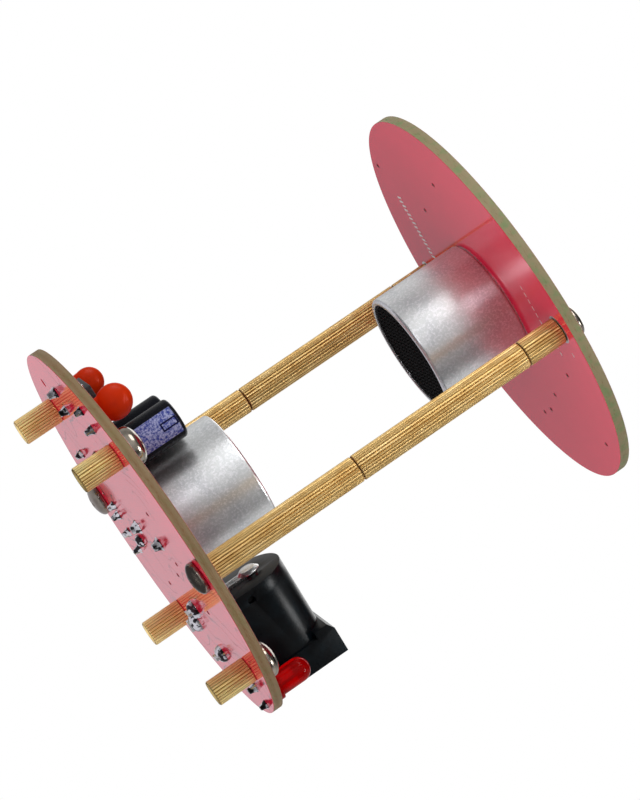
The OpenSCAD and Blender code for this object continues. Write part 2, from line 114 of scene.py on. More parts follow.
REGULATOR_LEADS = [*along_x(REGULATOR_AT, 2 * PITCH), REGULATOR_AT]
LEAD_PLACES = [
    *along_x(LED_AT, PITCH),
    *[lead for place in ELCAPS_AT for lead in along_y(place, ELCAP_PITCH)],
    *along_x(DISC_LARGE_AT, PITCH),
    *along_x(DISC_SMALL_AT, PITCH),
    *REGULATOR_LEADS,
    *along_x(RESISTOR_AT, RESISTOR_PITCH),
]
PIN_PLACES = along_y((0, 0), 2 * PIN_Y)

# ---- mesh helpers ----


def link(name, mesh):
    """A new object of that mesh in the scene."""
    made = bpy.data.objects.new(name, mesh)
    bpy.context.scene.collection.objects.link(made)
    return made


def from_bmesh(name, shape):
    """A new object of that bmesh, its faces turned outwards."""
    bmesh.ops.recalc_face_normals(shape, faces=shape.faces)
    mesh = bpy.data.meshes.new(name)
    shape.to_mesh(mesh)
    shape.free()
    return link(name, mesh)


def bake(piece):
    """Turns a piece and its modifiers into a plain mesh."""
    bpy.context.view_layer.update()
    graph = bpy.context.evaluated_depsgraph_get()
    mesh = bpy.data.meshes.new_from_object(piece.evaluated_get(graph), depsgraph=graph)
    piece.modifiers.clear()
    piece.data = mesh
    return piece


def move(piece, *matrices):
    """Applies the matrices to a piece's mesh, the last one first."""
    for matrix in reversed(matrices):
        piece.data.transform(matrix)
    return piece


def shift(x=0.0, y=0.0, z=0.0):
    """A move in millimetres."""
    return Matrix.Translation((x, y, z))


def turn(degrees, axis):
    """A turn about one axis."""
    return Matrix.Rotation(math.radians(degrees), 4, axis)


def smooth(piece, degrees=32):
    """Smooth shading, with edges sharper than that angle kept sharp."""
    piece.data.shade_smooth()
    piece.data.set_sharp_from_angle(angle=math.radians(degrees))
    return piece


def join(name, *pieces):
    """One object made of several, which are used up. Their materials are kept."""
    shape = bmesh.new()
    materials = []
    for piece in pieces:
        start = len(shape.faces)
        shape.from_mesh(piece.data)
        shape.faces.ensure_lookup_table()
        own = [slot.material for slot in piece.material_slots]
        for material in own:
            if material not in materials:
                materials.append(material)
        for face in shape.faces[start:]:
            if own:
                face.material_index = materials.index(own[min(face.material_index, len(own) - 1)])
        bpy.data.objects.remove(piece)
    mesh = bpy.data.meshes.new(name)
    shape.to_mesh(mesh)
    shape.free()
    for material in materials:
        mesh.materials.append(material)
    return link(name, mesh)


def lathe(name, profile, segments=96, closed=False):
    """A profile of (radius, z) points turned about Z. A closed profile is a ring's section."""
    shape = bmesh.new()
    rings = []
    for radius, z in profile:
        if radius < 1e-6:
            rings.append([shape.verts.new((0, 0, z))])
            continue
        angles = [2 * math.pi * i / segments for i in range(segments)]
        rings.append(
            [shape.verts.new((radius * math.cos(a), radius * math.sin(a), z)) for a in angles]
        )
    pairs = list(zip(rings, rings[1:]))
    if closed:
        pairs.append((rings[-1], rings[0]))
    for low, high in pairs:
        for i in range(segments):
            j = (i + 1) % segments
            below, above = [low[k % len(low)] for k in (i, j)], [high[k % len(high)] for k in (j, i)]
            corners = below + above
            corners = list(dict.fromkeys(corners))
            if len(corners) > 2:
                shape.faces.new(corners)
    return from_bmesh(name, shape)


def box(name, low, high):
    """A block between two corners, as a start for other shapes."""
    shape = bmesh.new()
    bmesh.ops.create_cube(shape, size=1)
    centre = [(a + b) / 2 for a, b in zip(low, high)]
    size = [b - a for a, b in zip(low, high)]
    bmesh.ops.scale(shape, vec=size, verts=shape.verts)
    bmesh.ops.translate(shape, vec=centre, verts=shape.verts)
    return from_bmesh(name, shape)


def bevel(piece, width, segments=3, degrees=35):
    """Rounds a piece's edges."""
    rounding = piece.modifiers.new("rounding", "BEVEL")
    rounding.width = width
    rounding.segments = segments
    rounding.limit_method = "ANGLE"
    rounding.angle_limit = math.radians(degrees)
    rounding.use_clamp_overlap = True
    return bake(piece)


def cut(piece, *cutters):
    """Cuts other objects out of a piece and removes them."""
    for cutter in cutters:
        saw = piece.modifiers.new("cut", "BOOLEAN")
        saw.operation = "DIFFERENCE"
        saw.solver = "EXACT"
        saw.object = cutter
        bake(piece)
        bpy.data.objects.remove(cutter)
    return piece


def cad_copy(node):
    """A welded copy of a CAD node's mesh, in millimetres."""
    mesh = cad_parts[node].data.copy()
    mesh.materials.clear()
    piece = link(node + "_fine", mesh)
    move(piece, Matrix.Scale(1 / MM, 4))
    shape = bmesh.new()
    shape.from_mesh(piece.data)
    bmesh.ops.remove_doubles(shape, verts=shape.verts, dist=0.002)
    bmesh.ops.dissolve_limit(
        shape, angle_limit=math.radians(1), verts=shape.verts, edges=shape.edges
    )
    shape.to_mesh(piece.data)
    shape.free()
    return piece


def flat_shape(name, outline, holes, thickness, rounding, z=0.0):
    """A flat plate with holes, its rims slightly rounded, standing on z."""
    curve = bpy.data.curves.new(name, "CURVE")
    curve.dimensions = "2D"
    curve.fill_mode = "BOTH"
    curve.extrude = thickness / 2 - rounding
    curve.bevel_depth = rounding
    curve.bevel_resolution = 1
    curve.offset = -rounding
    for ring in [outline, *holes]:
        rim = curve.splines.new("POLY")
        rim.use_cyclic_u = True
        rim.points.add(len(ring) - 1)
        for place, point in zip(rim.points, ring):
            place.co = (point[0], point[1], 0, 1)
    helper = link(name, curve)
    graph = bpy.context.evaluated_depsgraph_get()
    mesh = bpy.data.meshes.new_from_object(helper.evaluated_get(graph))
    bpy.data.objects.remove(helper)
    plate = link(name, mesh)
    shape = bmesh.new()
    shape.from_mesh(plate.data)
    bmesh.ops.remove_doubles(shape, verts=shape.verts, dist=0.001)
    bmesh.ops.recalc_face_normals(shape, faces=shape.faces)
    shape.to_mesh(plate.data)
    shape.free()
    return move(plate, shift(z=z + thickness / 2))


def circle(at, radius, count=40):
    """Points round a circle."""
    angles = [2 * math.pi * i / count for i in range(count)]
    return [(at[0] + radius * math.cos(a), at[1] + radius * math.sin(a)) for a in angles]


def stadium(at, length, width, upright, count=10):
    """Points round a slot with round ends."""
    half = (length - width) / 2
    points = []
    for end in (0, 1):
        for i in range(count + 1):
            a = math.pi * (end + i / count) - math.pi / 2
            x = (half if end == 0 else -half) + width / 2 * math.cos(a)
            y = width / 2 * math.sin(a)
            points.append((at[0] - y, at[1] + x) if upright else (at[0] + x, at[1] + y))
    return points


# ---- graphs of nodes ----


class Value:
    """A node's output that takes part in Python expressions; each operator adds a Math node."""

    def __init__(self, graph, socket):
        self.graph = graph
        self.socket = socket

    def math(self, operation, *others):
        return self.graph.node("ShaderNodeMath", {"operation": operation}, [self, *others])

    def __add__(self, other):
        return self.math("ADD", other)

    def __sub__(self, other):
        return self.math("SUBTRACT", other)

    def __mul__(self, other):
        return self.math("MULTIPLY", other)

    def __truediv__(self, other):
        return self.math("DIVIDE", other)

    def __pow__(self, other):
        return self.math("POWER", other)

    def __lt__(self, other):
        return self.math("LESS_THAN", other)

    def __gt__(self, other):
        return self.math("GREATER_THAN", other)

    def __rsub__(self, other):
        return self.graph.node("ShaderNodeMath", {"operation": "SUBTRACT"}, [other, self])

    __radd__ = __add__
    __rmul__ = __mul__

    def least(self, other):
        return self.math("MINIMUM", other)

    def most(self, other):
        return self.math("MAXIMUM", other)

    def size(self):
        return self.math("ABSOLUTE")

    def ramp(self, low, high):
        """0 at or under low, 1 at or over high, and smooth between them."""
        return self.graph.node(
            "ShaderNodeMapRange",
            {"interpolation_type": "SMOOTHSTEP"},
            {"Value": self, "From Min": low, "From Max": high},
        )


class Graph:
    """A node tree under construction, for a material, a world or a geometry modifier."""

    def __init__(self, tree):
        self.tree = tree

    def node(self, kind, settings=None, sockets=None, out=0):
        """Adds a node: its settings first, then its sockets' values or links."""
        made = self.tree.nodes.new(kind)
        for name, value in (settings or {}).items():
            setattr(made, name, value)
        entries = sockets.items() if isinstance(sockets, dict) else enumerate(sockets or [])
        for key, value in entries:
            if isinstance(value, Value):
                self.tree.links.new(value.socket, made.inputs[key])
            else:
                made.inputs[key].default_value = value
        return Value(self, made.outputs[out]) if made.outputs else made

    def split(self, vector):
        """The x, y and z of a vector, as three values."""
        first = self.node("ShaderNodeSeparateXYZ", None, [vector])
        return [Value(self, socket) for socket in first.socket.node.outputs]

    def vector(self, x, y, z):
        return self.node("ShaderNodeCombineXYZ", None, [x, y, z])

    def blend(self, first, second, factor):
        """One colour turning into another."""
        return self.node(
            "ShaderNodeMix",
            {"data_type": "RGBA"},
            {0: factor, 6: paint(first), 7: paint(second)},
            out=2,
        )

    def noise(self, vector, scale, detail=3.0, roughness=0.5):
        return self.node(
            "ShaderNodeTexNoise",
            None,
            {"Vector": vector, "Scale": scale, "Detail": detail, "Roughness": roughness},
        )


def paint(colour):
    """A colour with its alpha, or a linked colour as it is."""
    return colour if isinstance(colour, Value) else (*colour, 1.0)


class Finish(Graph):
    """A material built round one Principled shader."""

    def __init__(self, name):
        self.material = bpy.data.materials.new(name)
        self.material.use_nodes = True
        super().__init__(self.material.node_tree)
        self.tree.nodes.clear()
        self.place = self.node("ShaderNodeTexCoord", out=3)
        self.mm = self.node(
            "ShaderNodeVectorMath", {"operation": "SCALE"}, {0: self.place, "Scale": 1 / MM}
        )

    def shade(self, bump=None, depth=0.05, **sockets):
        """Ends the material: bump is a height from 0 to 1 and depth its size in millimetres."""
        named = {key.replace("_", " "): value for key, value in sockets.items()}
        if "Base Color" in named:
            named["Base Color"] = paint(named["Base Color"])
        if bump is not None:
            named["Normal"] = self.node(
                "ShaderNodeBump", None, {"Height": bump, "Distance": depth * MM, "Strength": 1.0}
            )
        shader = self.node("ShaderNodeBsdfPrincipled", None, named)
        self.node("ShaderNodeOutputMaterial", None, {"Surface": shader})
        return self.material


def from_axis(finish, x, y):
    """Distance in millimetres from the upright line through a place."""
    across, along, _ = finish.split(finish.mm)
    return ((across - x) ** 2.0 + (along - y) ** 2.0) ** 0.5


# ---- finishes ----

MASK_RED = (0.52, 0.006, 0.034)
MASK_TRACK = (0.22, 0.004, 0.022)
LAMINATE = (0.27, 0.22, 0.115)
LAMINATE_GREEN = (0.185, 0.235, 0.095)
LAMINATE_RUST = (0.185, 0.09, 0.03)


def board_finish(name, z_low, tracks, rust):
    """Glossy red solder mask with faint buried tracks, and a bare sawn laminate rim."""
    finish = Finish(name)
    x, y, z = finish.split(finish.mm)
    radius = from_axis(finish, 0.0, 0.0)
    mottle = finish.noise(finish.mm, 0.8, 4.0)
    flow = finish.noise(finish.mm, 0.12, 2.0)
    warp = finish.noise(finish.mm, 0.16, 0.0)
    grid = ((x + warp * 9.0) / 2.9).math("FRACT") - 0.5
    lines = 1.0 - grid.size().ramp(0.03, 0.045)
    patch = finish.noise(finish.mm, 0.11, 0.0).ramp(0.49, 0.51)
    track = lines * patch * tracks
    mask = finish.blend(MASK_RED, MASK_TRACK, track)
    mask = finish.blend(mask, (0.44, 0.006, 0.028), (flow - 0.35) * 0.9)
    sawn = finish.noise(finish.vector(x * 1.0, y * 1.0, z * 4.0), 1.6, 4.0)
    plies = ((z - z_low) * 7.0 + sawn * 1.6).math("SINE") * 0.5 + 0.5
    laminate = finish.blend(LAMINATE, LAMINATE_GREEN, mottle.ramp(0.45, 0.62))
    laminate = finish.blend(laminate, LAMINATE_RUST, sawn.ramp(0.55, 0.72) * 0.7 + rust)
    laminate = finish.blend(laminate, (0.32, 0.26, 0.15), plies * 0.3)
    middle = z_low + BOARD_T / 2
    rim = radius.ramp(BOARD_R - 0.05, BOARD_R - 0.03)
    rim = rim * (1.0 - (z - middle).size().ramp(BOARD_T / 2 - 0.05, BOARD_T / 2 - 0.02))
    colour = finish.blend(mask, laminate, rim)
    height = track * 0.2 + flow * 0.12 + rim * sawn
    return finish.shade(
        bump=height,
        depth=0.05,
        Base_Color=colour,
        Metallic=track * (1.0 - rim),
        Roughness=0.06 + mottle * 0.05 + rim * 0.6,
    )


def brass_finish(name, places, bright, dull):
    """Machined brass, with painted shade down in the knurl and at the joints."""
    finish = Finish(name)
    px, py, pz = finish.split(finish.mm)
    radius = from_axis(finish, *places[0])
    for place in places[1:]:
        radius = radius.least(from_axis(finish, *place))
    tarnish = finish.noise(finish.mm, 0.7, 4.0)
    streak = finish.noise(finish.vector(px, py, pz * 0.15), 1.6, 2.0)
    colour = finish.blend(bright, dull, tarnish.ramp(0.4, 0.7))
    colour = finish.blend(colour, (0.95, 0.72, 0.36), streak.ramp(0.52, 0.7) * 0.5)
    groove = 1.0 - radius.ramp(SPACER_R - KNURL_DEPTH * 1.05, SPACER_R - KNURL_DEPTH * 0.35)
    outer = radius.ramp(SPACER_R - 2.2 * KNURL_DEPTH, SPACER_R - 1.8 * KNURL_DEPTH)
    # Painted shade: the colour is darkened deep in the knurl's grooves and on the turned ends at the
    # joints.
    colour = finish.blend(colour, (0.24, 0.11, 0.03), groove * outer * 0.9)
    return finish.shade(
        bump=streak * 0.6 + tarnish * 0.4,
        depth=0.006,
        Base_Color=colour,
        Metallic=1.0,
        Roughness=0.31 + tarnish * 0.14 + groove * 0.1,
    )


def metal_finish(name, colour, dark, roughness, grain=2.2, depth=0.01, spread=0.12):
    """Plain metal with a fine grain and slow changes of tone."""
    finish = Finish(name)
    cloud = finish.noise(finish.mm, 0.35, 3.0)
    fine = finish.noise(finish.mm, grain, 4.0)
    tone = finish.blend(colour, dark, cloud.ramp(0.42, 0.68) * 0.6)
    return finish.shade(
        bump=fine,
        depth=depth,
        Base_Color=tone,
        Metallic=1.0,
        Roughness=roughness + fine * spread,
    )


def can_finish(name):
    """Satin drawn aluminium, speckled, with faint draw lines round it."""
    finish = Finish(name)
    x, y, z = finish.split(finish.mm)
    speckle = finish.noise(finish.mm, 3.2, 4.0, 0.75)
    cloud = finish.noise(finish.mm, 0.3, 3.0)
    draw = finish.noise(finish.vector(x * 0.05, y * 0.05, z), 4.0, 2.0)
    tone = finish.blend((0.70, 0.72, 0.72), (0.56, 0.58, 0.60), cloud.ramp(0.4, 0.7) * 0.7)
    tone = finish.blend(tone, (0.95, 0.95, 0.98), speckle.ramp(0.48, 0.60) * 0.6)
    return finish.shade(
        bump=speckle * 0.8 + draw * 0.2,
        depth=0.014,
        Base_Color=tone,
        Metallic=0.89,
        Roughness=0.22 + speckle * 0.12 + cloud * 0.05,
    )


def plastic_finish(name, colour, worn, roughness, grain=3.0, depth=0.01, coat=0.0, gloss=0.5):
    """Moulded or dipped plastic with a faint skin texture and slight change of tone."""
    finish = Finish(name)
    cloud = finish.noise(finish.mm, 0.5, 3.0)
    fine = finish.noise(finish.mm, grain, 3.0)
    return finish.shade(
        bump=fine,
        depth=depth,
        Base_Color=finish.blend(colour, worn, cloud.ramp(0.4, 0.75) * 0.7),
        Roughness=roughness + fine * 0.08,
        Coat_Weight=coat,
        Coat_Roughness=0.08,
        Specular_IOR_Level=gloss,
    )


def lens_finish(name):
    """Clear red epoxy."""
    finish = Finish(name)
    cloud = finish.noise(finish.mm, 0.6, 2.0)
    return finish.shade(
        Base_Color=finish.blend((0.84, 0.001, 0.001), (0.46, 0.0, 0.001), cloud),
        Roughness=0.04 + cloud * 0.03,
        Transmission_Weight=0.6,
        Specular_IOR_Level=0.03,
        IOR=1.22,
    )


def solder_finish(name):
    """Bright solder with painted dark reflections in patches, and a brownish flux film in places."""
    finish = Finish(name)
    cloud = finish.noise(finish.mm, 1.5, 2.0)
    flux = finish.noise(finish.mm, 0.45, 2.0)
    # Painted reflection: near-black patches in the colour stand in for the dark surroundings the
    # solder mirrors.
    colour = finish.blend((0.88, 0.88, 0.90), (0.035, 0.032, 0.035), cloud.ramp(0.47, 0.54))
    colour = finish.blend(colour, (0.14, 0.03, 0.035), flux.ramp(0.54, 0.66) * 0.7)
    return finish.shade(
        bump=cloud,
        depth=0.06,
        Base_Color=colour,
        Metallic=1.0,
        Roughness=0.07 + cloud * 0.12,
    )


def sleeve_finish(name):
    """Black shrink film; each sleeve has a printed blue panel with an outlined minus mark."""
    finish = Finish(name)
    x, y, z = finish.split(finish.mm)
    height = z - (DECK_Z + ELCAP_LIFT)
    fleck = finish.noise(finish.mm, 3.6, 3.0, 0.7)
    print_colour = finish.blend((0.05, 0.075, 0.34), (0.42, 0.47, 0.72), fleck.ramp(0.40, 0.62))
    colour = finish.blend((0.004, 0.005, 0.008), (0.009, 0.010, 0.014), fleck)
    for (cap_x, cap_y), facing in zip(ELCAPS_AT, PANEL_ANGLES):
        dx, dy = x - cap_x, y - cap_y
        own = (dx * dx + dy * dy) < (ELCAP_R + 0.1) ** 2
        turned = (dx.math("ARCTAN2", 0.0 - dy) * (180 / math.pi) - facing).size()
        panel = (1.0 - turned.ramp(PANEL_HALF, PANEL_HALF + 1.5)) * own
        panel = panel * height.ramp(0.2, 0.3) * (1.0 - height.ramp(ELCAP_H - 0.5, ELCAP_H - 0.4))
        up = (height - MARK_Z).size()
        outside = (turned < MARK_HALF_ANGLE) * (up < MARK_HALF_H)
        inside = (turned < MARK_HALF_ANGLE - 4.5) * (up < MARK_HALF_H - 0.2)
        inked = finish.blend(print_colour, (0.008, 0.010, 0.05), outside * (1.0 - inside))
        colour = finish.blend(colour, inked, panel)
    return finish.shade(
        bump=fleck,
        depth=0.006,
        Base_Color=colour,
        Roughness=0.22 + fleck * 0.1,
        Specular_IOR_Level=0.06,
    )


def resistor_finish(name):
    """Tan lacquer with four coloured bands round it."""
    finish = Finish(name)
    x, _, _ = finish.split(finish.mm)
    cloud = finish.noise(finish.mm, 1.2, 3.0)
    colour = finish.blend((0.62, 0.44, 0.25), (0.55, 0.37, 0.20), cloud)
    for offset, band in RESISTOR_BANDS:
        inside = (x - (RESISTOR_AT[0] + offset)).size() < RESISTOR_BAND_W / 2
        colour = finish.blend(colour, band, inside)
    return finish.shade(bump=cloud, depth=0.02, Base_Color=colour, Roughness=0.3 + cloud * 0.1)


PANEL_ANGLES, PANEL_HALF = (-13.0, 130.0), 40.0
MARK_Z, MARK_HALF_H, MARK_HALF_ANGLE = 6.2, 1.05, 12.0
RESISTOR_BAND_W = 0.36
RESISTOR_BANDS = [
    (-1.45, (0.12, 0.035, 0.012)),
    (-0.55, (0.008, 0.008, 0.008)),
    (0.2, (0.55, 0.10, 0.01)),
    (1.45, (0.50, 0.36, 0.07)),
]

BASE_MASK = board_finish("base_solder_mask", BASE_Z, 1.0, 0.7)
TOP_MASK = board_finish("top_solder_mask", TOP_Z, 0.0, 0.0)
COLUMN_BRASS = brass_finish("column_brass", POSTS, (0.80, 0.55, 0.22), (0.68, 0.43, 0.15))
# Painted light: the feet's brass is a lighter copy of the column brass, brightened to stand in for
# the light they catch.
FOOT_BRASS_PAINTED_BRIGHT = brass_finish("foot_brass", list(FEET.values()), (1.0, 0.80, 0.35), (0.93, 0.67, 0.27))
CAN_ALUMINIUM = can_finish("can_aluminium")
INNER_ALUMINIUM = metal_finish("inner_aluminium", (0.75, 0.76, 0.78), (0.6, 0.6, 0.63), 0.3)
# Screw heads: a darkened nickel with near-black patches, as painted reflection of dark surroundings.
SCREW_NICKEL_PAINTED_DARK = metal_finish("screw_nickel", (0.34, 0.30, 0.25), (0.06, 0.055, 0.05), 0.12)
LEAD_TIN = metal_finish("lead_tin", (0.76, 0.76, 0.75), (0.58, 0.58, 0.57), 0.2)
SPRING_BRASS = metal_finish("spring_brass", (0.86, 0.68, 0.35), (0.75, 0.53, 0.24), 0.22)
SOLDER = solder_finish("bright_solder")
PAD_TIN = metal_finish("pad_tin", (0.70, 0.70, 0.69), (0.5, 0.49, 0.47), 0.25)
JACK_BLACK = plastic_finish(
    "jack_black", (0.002, 0.003, 0.004), (0.004, 0.010, 0.014), 0.25, gloss=0.17
)
CHIP_BLACK = plastic_finish("chip_black", (0.018, 0.018, 0.02), (0.03, 0.03, 0.032), 0.5, 6.0, 0.02)
RESIN_BLACK = plastic_finish("resin_black", (0.012, 0.012, 0.012), (0.02, 0.02, 0.02), 0.4)
GRILLE_BLACK = plastic_finish(
    "grille_black", (0.003, 0.003, 0.003), (0.006, 0.006, 0.006), 0.6, gloss=0.12
)
SILICONE = plastic_finish("white_silicone", (0.72, 0.72, 0.68), (0.62, 0.61, 0.57), 0.45)
CERAMIC = plastic_finish("fired_ceramic", (0.62, 0.58, 0.42), (0.52, 0.47, 0.33), 0.5, 5.0, 0.02)
ORANGE_DIP = plastic_finish(
    "orange_dip", (0.62, 0.030, 0.001), (0.47, 0.019, 0.001), 0.26, 2.0, 0.02, gloss=0.12
)
LENS_RED = lens_finish("lens_red")
SLEEVE = sleeve_finish("printed_sleeve")
RESISTOR_TAN = resistor_finish("resistor_tan")
LEGEND_WHITE = plastic_finish("legend_white", (0.62, 0.56, 0.56), (0.46, 0.38, 0.38), 0.5)
VIA_DARK = plastic_finish("via_dark", (0.16, 0.004, 0.008), (0.09, 0.003, 0.005), 0.25)

# ---- geometry graphs ----


class Shaper(Graph):
    """A geometry-node modifier with named inputs, set before the piece is first evaluated."""

    def __init__(self, name, inputs):
        super().__init__(bpy.data.node_groups.new(name, "GeometryNodeTree"))
        face = self.tree.interface
        face.new_socket("Geometry", in_out="INPUT", socket_type="NodeSocketGeometry")
        face.new_socket("Geometry", in_out="OUTPUT", socket_type="NodeSocketGeometry")
        self.sockets = {}
        for key, kind in inputs.items():
            self.sockets[key] = face.new_socket(key, in_out="INPUT", socket_type=kind).identifier
        self.group = self.tree.nodes.new("NodeGroupInput")

    def given(self, key):
        """One of the modifier's inputs."""
        return Value(self, self.group.outputs[key])

    def finish(self, geometry, material):
        """Ends the graph: realised and painted."""
        real = self.node("GeometryNodeRealizeInstances", None, [geometry])
        painted = self.node("GeometryNodeSetMaterial", None, {"Geometry": real})
        self.tree.links.new(material.socket, painted.socket.node.inputs["Material"])
        end = self.tree.nodes.new("NodeGroupOutput")
        self.tree.links.new(painted.socket, end.inputs[0])
        return self

    def apply(self, piece, **values):
        """Runs the graph on a piece and leaves a plain mesh."""
        modifier = piece.modifiers.new(self.tree.name, "NODES")
        modifier.node_group = self.tree
        for key, value in values.items():
            modifier[self.sockets[key]] = value
        return bake(piece)


def knurl_shaper():
    """Straight V grooves round an upright turned piece, as deep as its outline lets them."""
    shaper = Shaper(
        "straight_knurl",
        {
            "Ridges": "NodeSocketInt",
            "Radius": "NodeSocketFloat",
            "Depth": "NodeSocketFloat",
            "Material": "NodeSocketMaterial",
        },
    )
    position = shaper.node("GeometryNodeInputPosition")
    x, y, z = shaper.split(position)
    around = y.math("ARCTAN2", x) / (2 * math.pi) * shaper.given("Ridges")
    groove = 1.0 - (around.math("FRACT") - 0.5).size().math("SUBTRACT", 0.22).math(
        "MAXIMUM", 0.0
    ) * (1 / 0.28)
    limit = shaper.given("Radius") - shaper.given("Depth") * (1.0 - groove)
    radius = (x * x + y * y) ** 0.5
    share = limit.least(radius) / radius.most(0.0001)
    moved = shaper.node(
        "GeometryNodeSetPosition",
        None,
        {"Geometry": shaper.given("Geometry"), "Position": shaper.vector(x * share, y * share, z)},
    )
    return shaper.finish(moved, shaper.given("Material"))


def scatter_shaper():
    """Copies of one object on every point, each with its own turn and a small change of size."""
    shaper = Shaper(
        "copies_on_points",
        {
            "Copy": "NodeSocketObject",
            "Size Change": "NodeSocketFloat",
            "Seed": "NodeSocketInt",
            "Material": "NodeSocketMaterial",
        },
    )
    copy = shaper.node("GeometryNodeObjectInfo", None, {"Object": shaper.given("Copy")}, out=4)
    spin = shaper.node(
        "FunctionNodeRandomValue",
        {"data_type": "FLOAT"},
        {2: 0.0, 3: 2 * math.pi, "Seed": shaper.given("Seed")},
        out=1,
    )
    change = shaper.node(
        "FunctionNodeRandomValue",
        {"data_type": "FLOAT"},
        {
            2: 1.0 - shaper.given("Size Change"),
            3: 1.0 + shaper.given("Size Change"),
            "Seed": shaper.given("Seed") + 1,
        },
        out=1,
    )
    instances = shaper.node(
        "GeometryNodeInstanceOnPoints",
        None,
        {
            "Points": shaper.given("Geometry"),
            "Instance": copy,
            "Rotation": shaper.vector(0.0, 0.0, spin),
            "Scale": shaper.vector(change, change, change),
        },
    )
    return shaper.finish(instances, shaper.given("Material"))


def weave_shaper():
    """Turns straight edges lying in a plane into round wires that pass over and under."""
    shaper = Shaper(
        "woven_wires",
        {
            "Pitch": "NodeSocketFloat",
            "Wire Radius": "NodeSocketFloat",
            "Material": "NodeSocketMaterial",
        },
    )
    x, y, z = shaper.split(shaper.node("GeometryNodeInputPosition"))
    pitch = shaper.given("Pitch")
    wave = (x / pitch * math.pi).math("COSINE") * (y / pitch * math.pi).math("COSINE")
    rise = wave * z.math("SIGN") * shaper.given("Wire Radius")
    bent = shaper.node(
        "GeometryNodeSetPosition",
        None,
        {"Geometry": shaper.given("Geometry"), "Position": shaper.vector(x, y, rise)},
    )
    wires = shaper.node("GeometryNodeMeshToCurve", None, [bent])
    section = shaper.node(
        "GeometryNodeCurvePrimitiveCircle",
        {"mode": "RADIUS"},
        {"Resolution": 5, "Radius": shaper.given("Wire Radius")},
    )
    solid = shaper.node("GeometryNodeCurveToMesh", None, {"Curve": wires, "Profile Curve": section})
    return shaper.finish(solid, shaper.given("Material"))


KNURL = knurl_shaper()
SCATTER = scatter_shaper()
WEAVE = weave_shaper()


def points(name, places):
    """An object that holds only points, for copies to stand on."""
    mesh = bpy.data.meshes.new(name)
    mesh.from_pydata([tuple(place) for place in places], [], [])
    return link(name, mesh)


def copies(name, pattern, places, material, size_change=0.0, seed=1):
    """Copies of a pattern object on places; the pattern is used up."""
    piece = points(name, places)
    SCATTER.apply(
        piece, **{"Copy": pattern, "Size Change": size_change, "Seed": seed, "Material": material}
    )
    bpy.data.objects.remove(pattern)
    return piece


def adopt(piece, slot, *nodes, material=None, body="levitator", degrees=32):
    """Finishes a piece that was made in millimetres: metres, shading and body. Its slot is not used.
    """
    if material is not None:
        piece.data.materials.clear()
        piece.data.materials.append(material)
    move(piece, Matrix.Scale(MM, 4))
    smooth(piece, degrees)
    if nodes:
        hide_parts(*nodes)
    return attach(piece, body)


# ---- boards ----


def base_board():
    holes = [circle(p, SCREW_HOLE_R) for p in [*POSTS, *FEET.values()]]
    holes += [circle(p, PIN_HOLE_R, 28) for p in PIN_PLACES]
    holes += [circle(p, LEAD_HOLE_R, 24) for p in [*LEAD_PLACES, SPARE_PAD_AT]]
    holes.append(circle(LOCATING_HOLE_AT, LOCATING_HOLE_R, 28))
    holes += [stadium((x, y), *TAB_SLOT, upright) for x, y, upright in TABS]
    outline = circle((0, 0), BOARD_R, 360)
    plate = flat_shape("base_board_fine", outline, holes, BOARD_T, RIM_ROUNDING, BASE_Z)
    adopt(plate, "red_laminate", "base_board", material=BASE_MASK, degrees=20)


def top_board():
    holes = [circle(p, SCREW_HOLE_R) for p in POSTS]
    holes += [circle(p, PIN_HOLE_R, 28) for p in PIN_PLACES]
    outline = circle((0, 0), BOARD_R, 360)
    plate = flat_shape("top_board_fine", outline, holes, BOARD_T, RIM_ROUNDING, TOP_Z)
    adopt(plate, "red_laminate", "top_board", material=TOP_MASK, degrees=20)


VIA_R = 0.27
TOP_VIAS = [
    (-16.7, 16.5),
    (-16.9, -3.1),
    (-11.8, 6.7),
    (7.9, -13.7),
    (12.9, -3.7),
    (17.4, 5.1),
    (16.2, 1.6),
    (17.8, -13.5),
]
BASE_VIAS = [(4.96, -3.1), (9.3, 8.0), (2.2, -7.4), (-5.4, -9.2), (-7.5, 6.9), (8.8, -8.6)]


def via_pattern():
    """A small plated hole: a shallow domed rim round a dimple."""
    dimple = [(0, 0.0), (VIA_R * 0.45, 0.0), (VIA_R * 0.6, -0.05)]
    profile = [*dimple, (VIA_R, -0.045), (VIA_R * 1.1, 0.02)]
    return lathe("via", profile, 20)


def vias():
    under_top = [(x, y, TOP_Z) for x, y in TOP_VIAS]
    under_base = [(x, y, BASE_Z) for x, y in BASE_VIAS]
    piece = copies("plated_vias", via_pattern(), under_top + under_base, VIA_DARK)
    adopt(piece, "red_laminate")


DASH_LEN, DASH_W, PRINT_T = 0.55, 0.12, 0.03
DASHES = [(-4.7 + 0.95 * i, -15.4) for i in range(6)] + [(3.3, -16.3), (4.3, -16.3), (3.6, -20.8)]
BAR_W, BAR_H = 0.3, 1.1
BARS = [(-12.3 + 0.62 * i, 15.0 + 0.2 * (i % 2)) for i in range(15)]


def print_marks(name, places, width, height):
    """Flat printed marks under the top board."""
    parts = []
    for x, y in places:
        low = (x - width / 2, y - height / 2, TOP_Z - PRINT_T)
        parts.append(box(name, low, (x + width / 2, y + height / 2, TOP_Z + PRINT_T)))
    return join(name, *parts)


def legend():
    dashes = print_marks("dashes", DASHES, DASH_LEN, DASH_W)
    bars = print_marks("bars", BARS, BAR_W, BAR_H)
    adopt(join("legend_print", dashes, bars), "red_laminate", material=LEGEND_WHITE)


# ---- columns and feet ----


